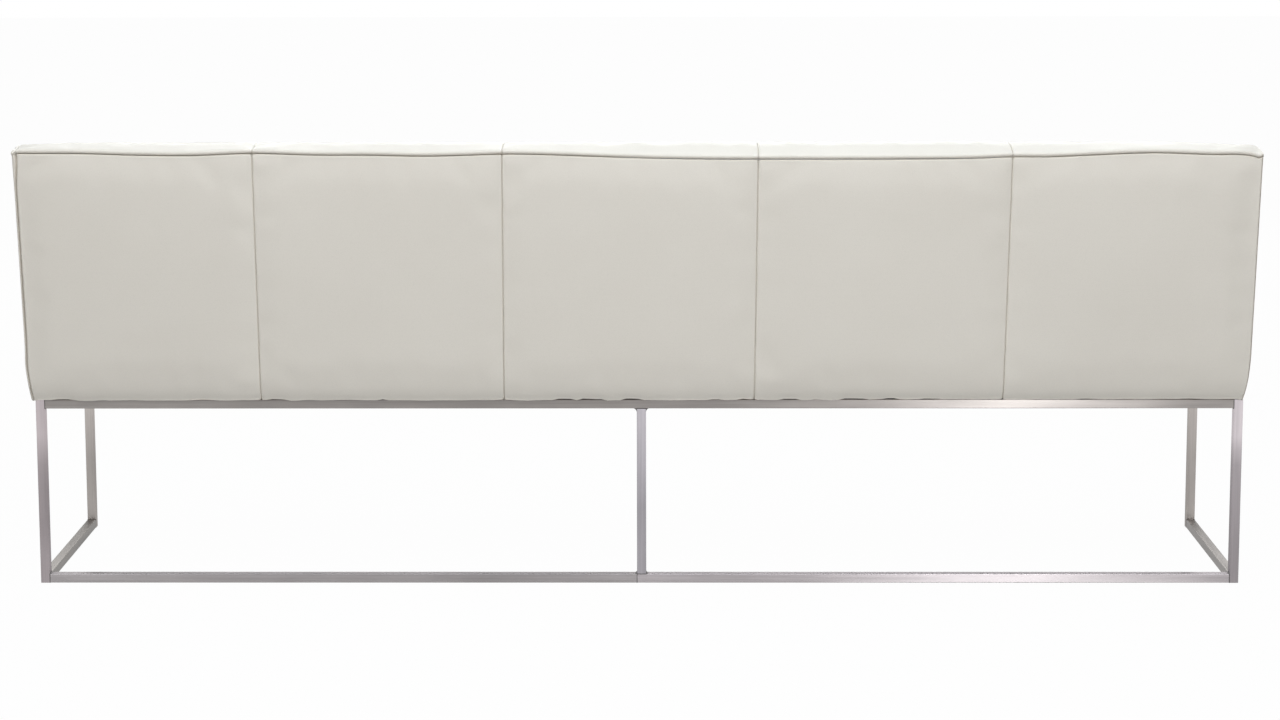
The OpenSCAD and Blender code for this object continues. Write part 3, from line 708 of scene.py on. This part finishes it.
def seat_cover():
    half_z = SEAT_T / 2
    x, inset = stations(0.97 * half_z)
    rear_v = -BACK_T - SOFT_GAP
    rear_foot = leaning(rear_v, level_u(rear_v, FRAME_TOP))[0]
    rear_top = leaning(rear_v, level_u(rear_v, seat_z))[0]
    r = SEAT_EDGE_R
    flat_front = FRONT_Y + r
    columns = []

    def add(y, z, top=0, face=0):
        columns.append((y, z, top, face))

    # Up beside the back, and over the seat to its front edge
    for t in (0, 0.35, 0.7):
        add(rear_foot + (rear_top - rear_foot) * t, FRAME_TOP + SEAT_T * t)
    add(rear_top - 0.2 * MM, seat_z - 13 * MM)
    add(rear_top - 1.2 * MM, seat_z - 7 * MM)
    add(rear_top - 4 * MM, seat_z - 2.5 * MM, top=0.1)
    for t in np.concatenate([[0.022, 0.04], np.linspace(0.065, 0.97, 32), [1]]):
        if t < 0.3:
            rise = crown(0.5 * t / 0.3, ROUND)
        else:
            rise = 1 - 0.85 * smooth((t - 0.45) / 0.55)
        add(rear_top + (flat_front - rear_top) * t, seat_z + SEAT_CROWN * rise, top=crown(t, FLAT))

    # Round the front edge, down the swollen front, and back under the seat
    for angle in (15, 32, 50, 68, 85):
        a = math.radians(angle)
        add(flat_front - r * math.sin(a), seat_z - r + (r + 1 * MM) * math.cos(a), top=0.15, face=0.2)
    low = seat_z - r - FRAME_TOP
    for t in (0.92, 0.82, 0.7, 0.58, 0.46, 0.34, 0.23, 0.13, 0.06, 0.02, 0):
        add(FRONT_Y - FRONT_SWELL * math.sin(math.pi * t), FRAME_TOP + low * t, face=crown(t, ROUND))
    add(FRONT_Y + COVER_T - SOFT_GAP, FRAME_TOP)
    under = len(columns)
    for t in (0, 0.5, 0.9):
        add(FRONT_Y + COVER_T + (rear_foot - FRONT_Y - COVER_T) * t, FRAME_TOP)

    y0, z0, top, face = np.array(columns).T
    puff = section_rise(x)
    y = y0[None, :] - face * 0.5 * puff
    z = z0[None, :] + top * puff
    y = drawn_in(y, (rear_foot + FRONT_Y) / 2, (rear_foot - FRONT_Y) / 2, inset)
    z = drawn_in(z, FRAME_TOP + half_z, half_z, inset)
    number = np.arange(len(y0))
    lifted = (np.abs(x) < board_x)[:, None] & ((number >= under) | (number == 0))[None, :]
    z = np.where(lifted, np.maximum(z, FRAME_TOP + BOARD_T + SOFT_GAP), z)
    xs = np.repeat(x[:, None], y.shape[1], axis=1)
    points = np.stack([pulled(xs, z), y, z], axis=2)
    points = sewn_cover("seat_cover", points, x, inset, top + face, soft_above=0.12, seen_above=0.05,
                        shown=(number >= 4) & (number < under - 2), skip=0, seed=31, cap=7 * MM, pressure=2.5)
    finish_soft("leather_seat_cover", points, "seat_cover")


# Materials
def new_material(name, roughness, metallic=0):
    material = bpy.data.materials.new(name)
    material.use_nodes = True
    nodes, links = material.node_tree.nodes, material.node_tree.links
    shader = nodes["Principled BSDF"]
    shader.inputs["Roughness"].default_value = roughness
    shader.inputs["Metallic"].default_value = metallic
    place = nodes.new("ShaderNodeTexCoord")
    return material, nodes, links, shader, place


def stretched_noise(nodes, links, place, scale, detail=3, size=1, roughness=0.5):
    mapping = nodes.new("ShaderNodeMapping")
    mapping.inputs["Scale"].default_value = scale
    links.new(place.outputs["Object"], mapping.inputs["Vector"])
    noise = nodes.new("ShaderNodeTexNoise")
    noise.inputs["Scale"].default_value = size
    noise.inputs["Detail"].default_value = detail
    noise.inputs["Roughness"].default_value = roughness
    links.new(mapping.outputs["Vector"], noise.inputs["Vector"])
    return noise.outputs["Fac"]


def ramp(nodes, links, factor, stops):
    node = nodes.new("ShaderNodeValToRGB")
    ends = node.color_ramp.elements
    while len(ends) < len(stops):
        ends.new(0.5)
    for element, (at, colour) in zip(ends, stops):
        element.position = at
        element.color = (*colour, 1)
    links.new(factor, node.inputs["Fac"])
    return node.outputs["Color"]


def multiply(nodes, links, a, b, factor=1):
    mix = nodes.new("ShaderNodeMix")
    mix.data_type = "RGBA"
    mix.blend_type = "MULTIPLY"
    mix.inputs["Factor"].default_value = factor
    links.new(a, mix.inputs["A"])
    links.new(b, mix.inputs["B"])
    return mix.outputs["Result"]


def bump(nodes, links, shader, height, strength, distance, before=None):
    node = nodes.new("ShaderNodeBump")
    node.inputs["Strength"].default_value = strength
    node.inputs["Distance"].default_value = distance
    links.new(height, node.inputs["Height"])
    if before is not None:
        links.new(before, node.inputs["Normal"])
    links.new(node.outputs["Normal"], shader.inputs["Normal"])
    return node.outputs["Normal"]


def grey(value, tint=(1, 1, 1)):
    """A grey written as it shows, turned into the renderer's linear numbers."""
    return tuple(((value * t + 0.055) / 1.055) ** 2.4 for t in tint)


def along_tube(axis, across, along):
    """Noise scales for marks drawn out along one axis."""
    scale = [across] * 3
    scale[axis] = along
    return scale


def brushed_steel(name, axis, level, tint, painted_height_light=()):
    """Brushed stainless tube along one axis; the heights given last, with how pale a vertical tube is there,
    are painted light, paler towards its top.
    """
    material, nodes, links, shader, place = new_material(name, 0.35, 1)
    shader.inputs["Anisotropic"].default_value = 0.95
    shader.inputs["Specular Tint"].default_value = (0.6, 0.6, 0.6, 1)
    tangent = nodes.new("ShaderNodeTangent")
    tangent.direction_type = "RADIAL"
    tangent.axis = "XYZ"[axis]
    links.new(tangent.outputs["Tangent"], shader.inputs["Tangent"])
    streaks = stretched_noise(nodes, links, place, along_tube(axis, 260, 4), 4)
    fine = stretched_noise(nodes, links, place, along_tube(axis, 2200, 14), 2)
    cloudy = stretched_noise(nodes, links, place, along_tube(axis, 30, 5), 3)
    base = ramp(nodes, links, cloudy, [(0.3, grey(level - 0.03, tint)), (0.7, grey(level + 0.03, tint))])
    lines = ramp(nodes, links, streaks, [(0.3, grey(0.93)), (0.62, grey(1))])
    colour = multiply(nodes, links, base, lines)
    # Painted light: a vertical tube's colour is made paler towards its top, standing in for the brighter
    # reflection there
    if painted_height_light:
        split = nodes.new("ShaderNodeSeparateXYZ")
        links.new(place.outputs["Object"], split.inputs["Vector"])
        stops = [(height * MM, grey(share)) for height, share in painted_height_light]
        colour = multiply(nodes, links, colour, ramp(nodes, links, split.outputs["Z"], stops))
    links.new(colour, shader.inputs["Base Color"])
    rough = ramp(nodes, links, streaks, [(0.3, (0.31,) * 3), (0.7, (0.39,) * 3)])
    links.new(rough, shader.inputs["Roughness"])
    bump(nodes, links, shader, fine, 0.35, 0.06 * MM)
    return material


def leather_material():
    material, nodes, links, shader, place = new_material("leather", 0.46)
    shader.inputs["Specular IOR Level"].default_value = 0.35
    cloudy = stretched_noise(nodes, links, place, (5, 5, 5), 3)
    base = ramp(nodes, links, cloudy, [(0.3, grey(0.902, (1, 0.973, 0.927))),
                                       (0.7, grey(0.91, (1, 0.974, 0.929)))])
    cells = nodes.new("ShaderNodeTexVoronoi")
    cells.feature = "DISTANCE_TO_EDGE"
    cells.inputs["Scale"].default_value = 620
    links.new(place.outputs["Object"], cells.inputs["Vector"])
    creases = ramp(nodes, links, cells.outputs["Distance"], [(0, grey(0.955)), (0.16, grey(1))])
    links.new(multiply(nodes, links, base, creases, 0.6), shader.inputs["Base Color"])
    pores = stretched_noise(nodes, links, place, (1500, 1500, 1500), 3)
    soft = bump(nodes, links, shader, pores, 0.12, 0.1 * MM)
    height = ramp(nodes, links, cells.outputs["Distance"], [(0, (0, 0, 0)), (0.25, (1, 1, 1))])
    bump(nodes, links, shader, height, 0.25, 0.12 * MM, soft)
    rough = ramp(nodes, links, stretched_noise(nodes, links, place, (60, 60, 60), 4),
                 [(0.3, (0.42,) * 3), (0.7, (0.52,) * 3)])
    links.new(rough, shader.inputs["Roughness"])
    return material


def speckled(name, colour, roughness, scale, uneven, metallic=0, depth=0.1 * MM):
    """A plain finish with a fine uneven surface, such as cloth, foam, plastic or plated steel."""
    material, nodes, links, shader, place = new_material(name, roughness, metallic)
    noise = stretched_noise(nodes, links, place, (scale,) * 3, 4)
    low = tuple(c * (1 - uneven) for c in colour)
    high = tuple(min(1, c * (1 + uneven)) for c in colour)
    links.new(ramp(nodes, links, noise, [(0.3, low), (0.7, high)]), shader.inputs["Base Color"])
    bump(nodes, links, shader, noise, 0.5, depth)
    return material


def plywood_material():
    material, nodes, links, shader, place = new_material("plywood", 0.65)
    grain = stretched_noise(nodes, links, place, (1.5, 60, 60), 6)
    base = ramp(nodes, links, grain, [(0.25, grey(0.66, (1, 0.8, 0.58))),
                                      (0.75, grey(0.8, (1, 0.84, 0.64)))])
    wave = nodes.new("ShaderNodeTexWave")
    wave.bands_direction = "Z"
    wave.inputs["Scale"].default_value = 115
    links.new(place.outputs["Object"], wave.inputs["Vector"])
    layers = ramp(nodes, links, wave.outputs["Fac"], [(0.3, grey(0.85)), (0.7, grey(1))])
    links.new(multiply(nodes, links, base, layers, 0.5), shader.inputs["Base Color"])
    bump(nodes, links, shader, grain, 0.3, 0.2 * MM)
    return material


def weave_material():
    material, nodes, links, shader, place = new_material("lining_cloth", 0.9)
    fibres = stretched_noise(nodes, links, place, (900, 300, 900), 4)
    links.new(ramp(nodes, links, fibres, [(0.3, grey(0.1)), (0.7, grey(0.17))]), shader.inputs["Base Color"])
    bump(nodes, links, shader, fibres, 0.7, 0.3 * MM)
    return material


leather = leather_material()
# The seams' lines: a darker leather, painted shade at the bottom of the grooves
seam_shade_leather = speckled("seam_shade_leather", grey(0.75, (1, 0.972, 0.925)), roughness=0.7, scale=1500,
                        uneven=0.15)
weld_steel = speckled("weld_steel", grey(0.4, (1, 0.97, 0.96)), roughness=0.5, scale=900,
                      uneven=0.25, metallic=0.9)
joint_steel = speckled("joint_steel", grey(0.27, (1, 0.97, 0.94)), roughness=0.6, scale=1500,
                       uneven=0.2, metallic=0.5)
lining = weave_material()

# Finishes of the imported model's own nodes. The steel differs a little from tube to tube: its axis, level,
# tint, and painted light by height in millimetres, paler towards a vertical tube's top.
# The levels carry painted light too: the tubes at the right end are set paler, where the light falls brighter
finishes = (
    (brushed_steel("steel_along_x", 0, 0.61, (1, 0.968, 0.95)),
     ("rear_top_rail", "front_top_rail", "fixing_tabs")),
    (brushed_steel("steel_floor_left", 0, 0.61, (1, 0.972, 0.975)), ("rear_floor_rail_left",)),
    (brushed_steel("steel_floor_right", 0, 0.655, (1, 0.967, 0.978)), ("rear_floor_rail_right",)),
    (brushed_steel("steel_side_left", 1, 0.58, (1, 0.975, 0.95)), ("side_floor_rail_left",)),
    (brushed_steel("steel_along_y", 1, 0.62, (1, 0.975, 0.955)),
     ("side_floor_rail_right", "side_top_rail_left", "side_top_rail_right", "cross_bearer_left",
      "cross_bearer_centre", "cross_bearer_right")),
    (brushed_steel("steel_left_leg", 2, 0.778, (1, 0.952, 0.965),
                   ((60, 0.85), (130, 0.81), (200, 0.815), (250, 0.84), (280, 0.91), (315, 1))),
     ("rear_leg_left",)),
    (brushed_steel("steel_post", 2, 0.795, (1, 0.98, 1.01), ((160, 0.83), (340, 1))), ("rear_post",)),
    (brushed_steel("steel_right_leg", 2, 0.84, (1, 0.963, 0.98),
                   ((70, 0.74), (160, 0.775), (250, 0.8), (282, 0.885), (310, 1))),
     ("rear_leg_right",)),
    (brushed_steel("steel_front_legs", 2, 0.785, (1, 0.967, 0.945), ((160, 0.86), (340, 1))),
     ("front_leg_left", "front_leg_right")),
    (speckled("zinc_plate", grey(0.75, (0.97, 0.99, 1)), roughness=0.35, scale=1200, uneven=0.08,
              metallic=1, depth=0.02 * MM),
     ("bearer_bolts", "tab_bolts", "bolt_washers", "tee_nuts", "bracket_screws")),
    (speckled("black_paint", grey(0.13), roughness=0.45, scale=1500, uneven=0.2, depth=0.05 * MM),
     ("back_brackets",)),
    (speckled("plug_plastic", grey(0.08), roughness=0.6, scale=2000, uneven=0.2, depth=0.05 * MM),
     ("leg_plugs",)),
    (speckled("foam", grey(0.9, (1, 0.96, 0.78)), roughness=0.95, scale=700, uneven=0.06,
              depth=0.5 * MM),
     ("seat_foam", "back_foam")),
    (speckled("wadding", grey(0.95), roughness=0.98, scale=350, uneven=0.05, depth=1 * MM),
     ("back_wadding",)),
    (plywood_material(), ("seat_board", "back_board")),
    (lining, ("underside_lining",)),
)
for finish, names in finishes:
    for name in names:
        node = frame["nodes"][name]
        for entry in node.material_slots:
            entry.material = finish
        if not node.material_slots:
            node.data.materials.append(finish)


# Welds: rippled fillets in the frame's corners, and ground flush lines round the joints
POST_BEAD = 8 * MM
CORNER_BEAD = 2.4 * MM
BEAD_STEPS = 6
BEAD_SLICES = 14
BEAD_MARGIN = 1.2 * MM
BEAD_SUNK = 0.4 * MM
LINE_WIDTH = 1.4 * MM
LINE_PROUD = 0.12 * MM
LINE_SUNK = 0.5 * MM
rear_axis = REAR_Y - TUBE / 2
front_axis = FRONT_Y + TUBE / 2
side_axis = HALF_L - TUBE / 2
top_axis = FRAME_TOP - TUBE / 2


def fillet(verts, faces, corner, sx, sz, size, draw):
    """A weld bead along Y in a corner, hollow-faced and rippled; sx and sz point away from the corner."""
    cx, cy, cz = corner
    start = len(verts)
    half = TUBE / 2 - BEAD_MARGIN
    for i in range(BEAD_SLICES + 1):
        y = cy + half * (2 * i / BEAD_SLICES - 1)
        swell = 1 + 0.16 * math.sin(i * 2.4) + draw.uniform(-0.06, 0.06)
        if i in (0, BEAD_SLICES):
            swell *= 0.72
        reach = size * swell
        verts.append((cx - sx * BEAD_SUNK, y, cz - sz * BEAD_SUNK))
        for k in range(BEAD_STEPS + 1):
            a = math.radians(180 + 90 * k / BEAD_STEPS)
            verts.append((cx + sx * reach * (1 + math.cos(a)), y, cz + sz * reach * (1 + math.sin(a))))
    n = BEAD_STEPS + 2
    for i in range(BEAD_SLICES):
        a, b = start + i * n, start + (i + 1) * n
        for j in range(n):
            k = (j + 1) % n
            faces.append((a + j, a + k, b + k, b + j))
    faces.append(tuple(start + j for j in range(n)))
    faces.append(tuple(start + BEAD_SLICES * n + j for j in reversed(range(n))))


def weld_fillets():
    verts, faces = [], []
    draw = random.Random(5)
    for s in (-1, 1):
        post_side = post_x + s * TUBE / 2
        fillet(verts, faces, (post_side, rear_axis, FRAME_TOP - TUBE), s, -1, POST_BEAD, draw)
        fillet(verts, faces, (post_side, rear_axis, TUBE), s, 1, POST_BEAD / 2, draw)
        inner = s * (HALF_L - TUBE)
        for y in (rear_axis, front_axis):
            fillet(verts, faces, (inner, y, FRAME_TOP - TUBE), -s, -1, CORNER_BEAD, draw)
        fillet(verts, faces, (inner, rear_axis, TUBE), -s, 1, CORNER_BEAD, draw)
    piece = make_object("weld_fillets", verts, faces)
    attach(piece, "root")
    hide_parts("weld_beads")
    piece.data.materials.append(weld_steel)


def joint_band(verts, faces, centre, axis, open_side=None):
    """A thin raised line round a tube, where it meets another; open_side leaves out one face."""
    across = [k for k in range(3) if k != axis]
    outer = TUBE / 2 + LINE_PROUD
    inner = TUBE / 2 - LINE_SUNK
    corners = [(1, 1), (-1, 1), (-1, -1), (1, -1)]
    for q, (a, b) in enumerate(zip(corners, corners[1:] + corners[:1])):
        if q == open_side:
            continue
        start = len(verts)
        for end in (a, b):
            for reach in (outer, inner):
                for along in (-0.5, 0.5):
                    place = [0.0, 0.0, 0.0]
                    place[axis] = centre[axis] + along * LINE_WIDTH
                    for k, sign in zip(across, end):
                        place[k] = centre[k] + sign * reach
                    verts.append(tuple(place))
        for face in ((0, 1, 5, 4), (2, 6, 7, 3), (0, 4, 6, 2), (1, 3, 7, 5), (0, 2, 3, 1), (4, 5, 7, 6)):
            faces.append(tuple(start + k for k in face))


def weld_lines():
    verts, faces = [], []
    for s in (-1, 1):
        inner = s * (HALF_L - TUBE)
        joint_band(verts, faces, (inner, rear_axis, top_axis), 0)
        joint_band(verts, faces, (inner, front_axis, top_axis), 0)
        joint_band(verts, faces, (inner, rear_axis, TUBE / 2), 0, open_side=2)
        for z in (top_axis, TUBE / 2):
            for y in (REAR_Y - TUBE, FRONT_Y + TUBE):
                joint_band(verts, faces, (s * side_axis, y, z), 1, open_side=2 if z < top_axis else None)
    joint_band(verts, faces, (post_x + TUBE / 2, rear_axis, TUBE / 2), 0, open_side=2)
    joint_band(verts, faces, (post_x, rear_axis, FRAME_TOP - TUBE), 2)
    joint_band(verts, faces, (post_x, rear_axis, TUBE), 2)
    piece = make_object("weld_lines", verts, faces, smooth_faces=False)
    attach(piece, "root")
    piece.data.materials.append(joint_steel)


# A strip of the black lining cloth on the seat board's rear edge, a dark sheet put as painted shade in the
# gap under the rear panel's lower edge: thickness, height, and parts along the bench
EDGE_T = 1.8 * MM
EDGE_H = 10 * MM
EDGE_PARTS = 160


def lining_shade_strip():
    """A strip of the underside's black cloth against the seat board's rear edge, put there as painted shade
    in the gap under the rear panel's lower edge.
    """
    board_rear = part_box("seat_board")[1].y
    near = board_rear + 0.1 * MM
    verts, faces = [], []
    for k in range(EDGE_PARTS + 1):
        x = (board_x - 3 * MM) * (2 * k / EDGE_PARTS - 1)
        thick = EDGE_T + 0.3 * MM * math.sin(x * 95) + 0.2 * MM * math.sin(x * 41)
        far = board_rear + thick
        for y, up in ((near, 0.2 * MM), (far, 0.5 * MM), (far, EDGE_H), (near, EDGE_H + 0.8 * MM)):
            verts.append((x, y, FRAME_TOP + up))
    for k in range(EDGE_PARTS):
        a, b = 4 * k, 4 * (k + 1)
        faces += [(a + q, a + (q + 1) % 4, b + (q + 1) % 4, b + q) for q in range(4)]
    faces += [(3, 2, 1, 0), tuple(4 * EDGE_PARTS + q for q in range(4))]
    piece = make_object("lining_shade_strip", verts, faces)
    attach(piece, "root")
    piece.data.materials.append(lining)


# Floor, light and camera
FLOOR_SIZE = 40.0
FLOOR_DROP = 0.2 * MM
FLOOR_GREY = 0.62
AMBIENT = 0.15
SHOWN_WHITE = 0.98
COOL = (0.8, 0.905, 1.0)
WHITE = (1, 1, 1)
SENSOR_WIDTH = 36
VIEW_END = 100


def white_rays(nodes, links):
    """1 for the rays that show the background: to the camera, and in metal and glass."""
    path = nodes.new("ShaderNodeLightPath")
    total = path.outputs["Is Camera Ray"]
    for other in ("Is Glossy Ray", "Is Transmission Ray"):
        add = nodes.new("ShaderNodeMath")
        add.operation = "MAXIMUM"
        links.new(total, add.inputs[0])
        links.new(path.outputs[other], add.inputs[1])
        total = add.outputs[0]
    return total


def mixed(nodes, links, share, first, second, output):
    """Joins two shaders into an output: the second where the share is 1, else the first."""
    mix = nodes.new("ShaderNodeMixShader")
    links.new(share, mix.inputs["Fac"])
    links.new(first, mix.inputs[1])
    links.new(second, mix.inputs[2])
    links.new(mix.outputs["Shader"], nodes[output].inputs["Surface"])


def floor():
    bpy.ops.mesh.primitive_plane_add(size=FLOOR_SIZE, location=(0, 0, -FLOOR_DROP))
    plane = bpy.context.object
    plane.name = "floor"
    material = bpy.data.materials.new("floor_white")
    material.use_nodes = True
    nodes, links = material.node_tree.nodes, material.node_tree.links
    shader = nodes["Principled BSDF"]
    shader.inputs["Base Color"].default_value = (FLOOR_GREY, FLOOR_GREY, FLOOR_GREY, 1)
    shader.inputs["Roughness"].default_value = 0.9
    shader.inputs["Specular IOR Level"].default_value = 0.1
    glow = nodes.new("ShaderNodeEmission")
    glow.inputs["Color"].default_value = (*WHITE, 1)
    scale = nodes.new("ShaderNodeMath")
    scale.operation = "MULTIPLY"
    scale.inputs[1].default_value = SHOWN_WHITE
    links.new(white_rays(nodes, links), scale.inputs[0])
    mixed(nodes, links, scale.outputs[0], shader.outputs["BSDF"], glow.outputs["Emission"], "Material Output")
    plane.data.materials.append(material)


def world():
    sky = bpy.data.worlds.new("studio")
    bpy.context.scene.world = sky
    sky.use_nodes = True
    nodes, links = sky.node_tree.nodes, sky.node_tree.links
    ambient = nodes["Background"]
    ambient.inputs["Color"].default_value = (*WHITE, 1)
    ambient.inputs["Strength"].default_value = AMBIENT
    white = nodes.new("ShaderNodeBackground")
    white.inputs["Color"].default_value = (*WHITE, 1)
    shown = white_rays(nodes, links)
    mixed(nodes, links, shown, ambient.outputs["Background"], white.outputs["Background"], "World Output")


def lamp(name, place, target, size, power, colour=WHITE):
    data = bpy.data.lights.new(name, "AREA")
    data.shape = "RECTANGLE"
    data.size, data.size_y = size
    data.energy = power
    data.color = colour
    light = bpy.data.objects.new(name, data)
    light.location = place
    light.rotation_euler = (Vector(target) - Vector(place)).to_track_quat("-Z", "Y").to_euler()
    bpy.context.scene.collection.objects.link(light)


def camera():
    data = bpy.data.cameras.new("camera")
    data.lens = CAMERA_LENS
    data.sensor_width = SENSOR_WIDTH
    data.shift_y = CAMERA_SHIFT
    data.clip_end = VIEW_END
    forward = Vector((math.sin(CAMERA_TURN) * math.cos(CAMERA_PITCH),
                      -math.cos(CAMERA_TURN) * math.cos(CAMERA_PITCH), -math.sin(CAMERA_PITCH)))
    right = forward.cross(Vector((0, 0, 1))).normalized()
    up = right.cross(forward)
    right, up = (right * math.cos(CAMERA_ROLL) + up * math.sin(CAMERA_ROLL),
                 up * math.cos(CAMERA_ROLL) - right * math.sin(CAMERA_ROLL))
    turn = Matrix((right, up, -forward)).transposed()
    view = bpy.data.objects.new("camera", data)
    view.matrix_world = Matrix.Translation(CAMERA_AT) @ turn.to_4x4()
    bpy.context.scene.collection.objects.link(view)
    bpy.context.scene.camera = view


rear_panel()
back_cover()
seat_cover()
seam_line_piece()
weld_fillets()
weld_lines()
lining_shade_strip()
floor()
world()
# Lamps: place, the point each faces, width and height in metres, power, colour
lamp("overhead", (0, 0.8, 3.4), (0, 0, 0.4), (4.5, 3.0), 62, COOL)
lamp("over_rear", (0, 1.9, 2.5), (0, 0.2, 0.6), (6.0, 0.8), 37)
lamp("over_right", (-0.95, 0.0, 2.5), (-0.95, 0.2, 0.9), (1.8, 0.8), 3.5, COOL)
lamp("rear_left", (3.2, 4.5, 3.0), (0, 0, 0.6), (2.5, 2.0), 26)
lamp("behind_right", (-1.55, 6.6, 0.9), (-0.7, 0.2, 0.3), (0.4, 1.6), 70)
lamp("front", (0, -5.0, 2.6), (0, 0, 0.5), (5.0, 2.0), 80)
camera()
bpy.context.scene.view_settings.view_transform = "Standard"
